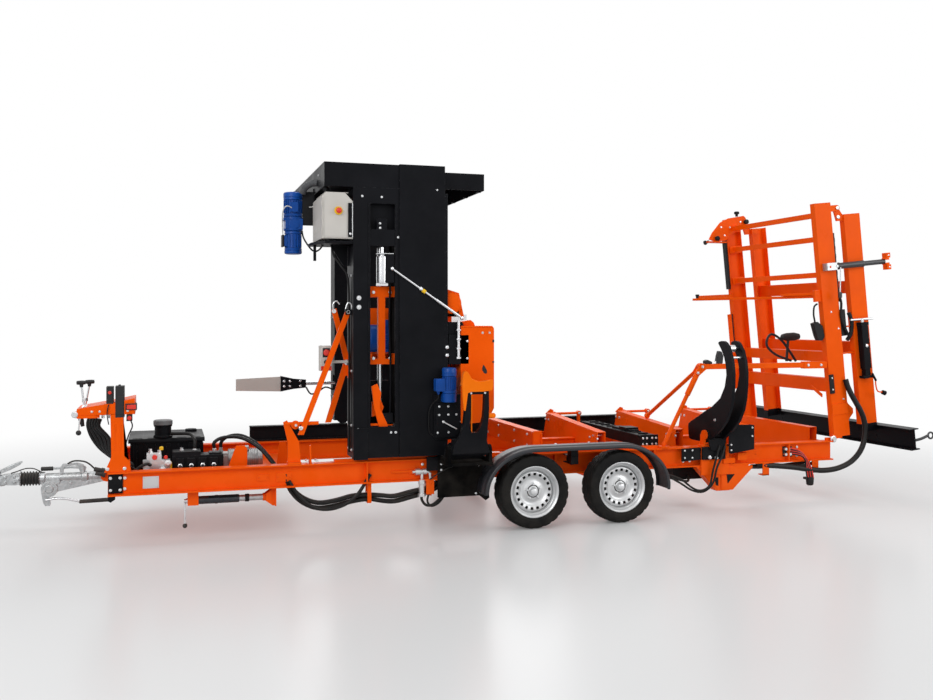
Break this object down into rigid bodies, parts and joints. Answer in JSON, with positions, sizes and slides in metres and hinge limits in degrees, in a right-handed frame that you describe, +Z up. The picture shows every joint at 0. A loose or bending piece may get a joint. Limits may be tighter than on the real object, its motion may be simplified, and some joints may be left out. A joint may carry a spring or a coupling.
{
  "type": "horizontal band sawmill",
  "caption": "Trailer-mounted horizontal band sawmill with a travelling gantry saw head, log bed, hydraulic loaders and a folded bed extension, in road position.",
  "frame": {"origin": "on the ground under the middle of the machine: centre of the bounding box, at wheel level", "axes": "+X from the tow hitch to the rear end, +Y to the far side across the bed, +Z up"},
  "size_m": [7.3133, 2.42, 2.725],
  "materials": {
    "near_beam": "satin",
    "far_beam": "satin",
    "far_rail": "satin",
    "bunk_1": "satin",
    "bunk_2": "satin",
    "bunk_3": "satin",
    "rear_bunk": "satin",
    "front_cross_member": "satin",
    "oil_tank": "matte",
    "return_filter": "matte",
    "pump_unit": "satin",
    "control_console": "satin",
    "control_lever_1": "satin",
    "control_lever_2": "satin",
    "transport_dog": "satin",
    "front_axle": "satin",
    "rear_axle": "satin",
    "near_fender": "matte",
    "far_fender": "matte",
    "drawbar": "satin",
    "drawbar_bellows": "matte",
    "coupling_handle": "satin",
    "handbrake_lever": "satin",
    "front_leg": "satin",
    "front_leg_crank": "brushed",
    "near_column": "satin",
    "near_cover": "satin",
    "far_tower": "satin",
    "header_canopy": "satin",
    "control_cabinet": "satin",
    "cabinet_door": "satin",
    "stop_button": "gloss",
    "lift_drive": "gloss",
    "travel_drive": "gloss",
    "transport_brace": "satin",
    "head_frame": "satin",
    "near_band_wheel": "machined",
    "far_band_wheel": "machined",
    "saw_blade": "brushed",
    "near_wheel_guard": "satin",
    "far_wheel_guard": "satin",
    "main_motor": "gloss",
    "blade_guide": "brushed",
    "front_loader_bracket": "satin",
    "front_loader_arm": "satin",
    "rear_loader_horns": "satin",
    "extension_prop": "satin",
    "extension_frame": "satin",
    "extension_end_frame": "satin",
    "extension_jack": "satin",
    "extension_leg": "satin",
    "hose_bundle": "matte",
    "tyre_near_front": "matte",
    "rim_near_front": "satin",
    "tyre_near_rear": "matte",
    "rim_near_rear": "satin",
    "tyre_far_front": "matte",
    "rim_far_front": "satin",
    "tyre_far_rear": "matte",
    "rim_far_rear": "satin"
  },
  "bodies": {
    "bed": {"near_beam": "near_beam", "far_beam": "far_beam", "far_rail": "far_rail", "bunk_1": "bunk_1", "bunk_2": "bunk_2", "bunk_3": "bunk_3", "rear_bunk": "rear_bunk", "front_cross_member": "front_cross_member", "oil_tank": "oil_tank", "return_filter": "return_filter", "pump_unit": "pump_unit", "control_console": "control_console", "transport_dog": "transport_dog", "front_axle": "front_axle", "rear_axle": "rear_axle", "near_fender": "near_fender", "far_fender": "far_fender", "front_loader_bracket": "front_loader_bracket", "extension_prop": "extension_prop", "hose_bundle": "hose_bundle"},
    "gantry": {"near_column": "near_column", "near_cover": "near_cover", "far_tower": "far_tower", "header_canopy": "header_canopy", "control_cabinet": "control_cabinet", "lift_drive": "lift_drive", "travel_drive": "travel_drive"},
    "saw_head": {"head_frame": "head_frame", "saw_blade": "saw_blade", "near_wheel_guard": "near_wheel_guard", "far_wheel_guard": "far_wheel_guard", "main_motor": "main_motor", "blade_guide": "blade_guide"},
    "near_wheel": {"near_band_wheel": "near_band_wheel"},
    "far_wheel": {"far_band_wheel": "far_band_wheel"},
    "door": {"cabinet_door": "cabinet_door"},
    "button": {"stop_button": "stop_button"},
    "brace": {"transport_brace": "transport_brace"},
    "near_front_wheel": {"tyre_near_front": "tyre_near_front", "rim_near_front": "rim_near_front"},
    "near_rear_wheel": {"tyre_near_rear": "tyre_near_rear", "rim_near_rear": "rim_near_rear"},
    "far_front_wheel": {"tyre_far_front": "tyre_far_front", "rim_far_front": "rim_far_front"},
    "far_rear_wheel": {"tyre_far_rear": "tyre_far_rear", "rim_far_rear": "rim_far_rear"},
    "drawbar_body": {"drawbar": "drawbar", "drawbar_bellows": "drawbar_bellows"},
    "coupling_grip": {"coupling_handle": "coupling_handle"},
    "handbrake_body": {"handbrake_lever": "handbrake_lever"},
    "leg_body": {"front_leg": "front_leg"},
    "leg_crank": {"front_leg_crank": "front_leg_crank"},
    "lever_1": {"control_lever_1": "control_lever_1"},
    "lever_2": {"control_lever_2": "control_lever_2"},
    "front_loader": {"front_loader_arm": "front_loader_arm"},
    "rear_loader": {"rear_loader_horns": "rear_loader_horns"},
    "extension": {"extension_frame": "extension_frame"},
    "end_frame": {"extension_end_frame": "extension_end_frame"},
    "rear_leg": {"extension_leg": "extension_leg"},
    "jack": {"extension_jack": "extension_jack"}
  },
  "joints": [
    {"name": "gantry_travel", "type": "slide", "parent": "bed", "child": "gantry", "axis": [1, 0, 0], "range_m": [0, 1.35]},
    {"name": "head_lift", "type": "slide", "parent": "gantry", "child": "saw_head", "axis": [0, 0, 1], "range_m": [0, 0.7]},
    {"name": "near_band_wheel_spin", "type": "hinge", "parent": "saw_head", "child": "near_wheel", "pos_m": [-0.18, -0.6, 1.215], "axis": [1, 0, 0], "continuous": true},
    {"name": "far_band_wheel_spin", "type": "hinge", "parent": "saw_head", "child": "far_wheel", "pos_m": [-0.18, 0.6, 1.215], "axis": [1, 0, 0], "continuous": true},
    {"name": "cabinet_door_hinge", "type": "hinge", "parent": "gantry", "child": "door", "pos_m": [-1.3953, -0.8603, 2.333], "axis": [0, 0, 1], "range_deg": [-100, 0]},
    {"name": "stop_button_press", "type": "slide", "parent": "door", "child": "button", "axis": [0, 1, 0], "range_m": [0, 0.005], "stiffness_N_per_m": 400},
    {"name": "brace_swing", "type": "hinge", "parent": "gantry", "child": "brace", "pos_m": [-1.193, -0.781, 1.633], "axis": [0, 1, 0], "range_deg": [-18, 0]},
    {"name": "near_front_wheel_spin", "type": "hinge", "parent": "bed", "child": "near_front_wheel", "pos_m": [0.18, -0.967, 0.28], "axis": [0, 1, 0], "continuous": true},
    {"name": "near_rear_wheel_spin", "type": "hinge", "parent": "bed", "child": "near_rear_wheel", "pos_m": [0.905, -0.967, 0.28], "axis": [0, 1, 0], "continuous": true},
    {"name": "far_front_wheel_spin", "type": "hinge", "parent": "bed", "child": "far_front_wheel", "pos_m": [0.18, 0.967, 0.28], "axis": [0, 1, 0], "continuous": true},
    {"name": "far_rear_wheel_spin", "type": "hinge", "parent": "bed", "child": "far_rear_wheel", "pos_m": [0.905, 0.967, 0.28], "axis": [0, 1, 0], "continuous": true},
    {"name": "drawbar_height", "type": "hinge", "parent": "bed", "child": "drawbar_body", "pos_m": [-2.898, 0, 0.396], "axis": [0, 1, 0], "range_deg": [-8, 8]},
    {"name": "coupling_release", "type": "hinge", "parent": "drawbar_body", "child": "coupling_grip", "pos_m": [-3.64, 0, 0.452], "axis": [0, 1, 0], "range_deg": [-60, 0]},
    {"name": "handbrake", "type": "hinge", "parent": "drawbar_body", "child": "handbrake_body", "pos_m": [-3.068, 0, 0.455], "axis": [0, 1, 0], "range_deg": [0, 60]},
    {"name": "front_leg_swing", "type": "hinge", "parent": "bed", "child": "leg_body", "pos_m": [-2.286, -0.695, 0.293], "axis": [0, 1, 0], "range_deg": [0, 20]},
    {"name": "front_leg_crank_turn", "type": "hinge", "parent": "leg_body", "child": "leg_crank", "pos_m": [-2.3313, -0.695, 0.293], "axis": [1, 0, 0], "range_deg": [-90, 90]},
    {"name": "control_lever_1_tilt", "type": "hinge", "parent": "bed", "child": "lever_1", "pos_m": [-3.004, -0.707, 0.9723], "axis": [0, 1, 0], "range_deg": [-20, 20], "stiffness_Nm_per_rad": 8},
    {"name": "control_lever_2_tilt", "type": "hinge", "parent": "bed", "child": "lever_2", "pos_m": [-3.004, -0.623, 0.9723], "axis": [0, 1, 0], "range_deg": [-20, 20], "stiffness_Nm_per_rad": 8},
    {"name": "front_loader_lift", "type": "hinge", "parent": "bed", "child": "front_loader", "pos_m": [-0.338, -1.028, 0.612], "axis": [1, 0, 0], "range_deg": [0, 80]},
    {"name": "rear_loader_lift", "type": "hinge", "parent": "bed", "child": "rear_loader", "pos_m": [1.868, -0.806, 0.628], "axis": [1, 0, 0], "range_deg": [0, 40]},
    {"name": "extension_fold", "type": "hinge", "parent": "bed", "child": "extension", "pos_m": [3.055, 0, 0.542], "axis": [0, 1, 0], "range_deg": [0, 89]},
    {"name": "end_frame_fold", "type": "hinge", "parent": "extension", "child": "end_frame", "pos_m": [3.0935, 0, 2.5482], "axis": [0, 1, 0], "range_deg": [-180, 0]},
    {"name": "extension_leg_fold", "type": "hinge", "parent": "extension", "child": "rear_leg", "pos_m": [2.978, -0.816, 2.0319], "axis": [0, 1, 0], "range_deg": [-90, 0]},
    {"name": "jack_swing", "type": "hinge", "parent": "end_frame", "child": "jack", "pos_m": [3.3617, -0.818, 1.3572], "axis": [0, 1, 0], "range_deg": [0, 90]}
  ],
  "couplings": [
    {"joint": "far_band_wheel_spin", "follows": "near_band_wheel_spin", "ratio": 1}
  ]
}
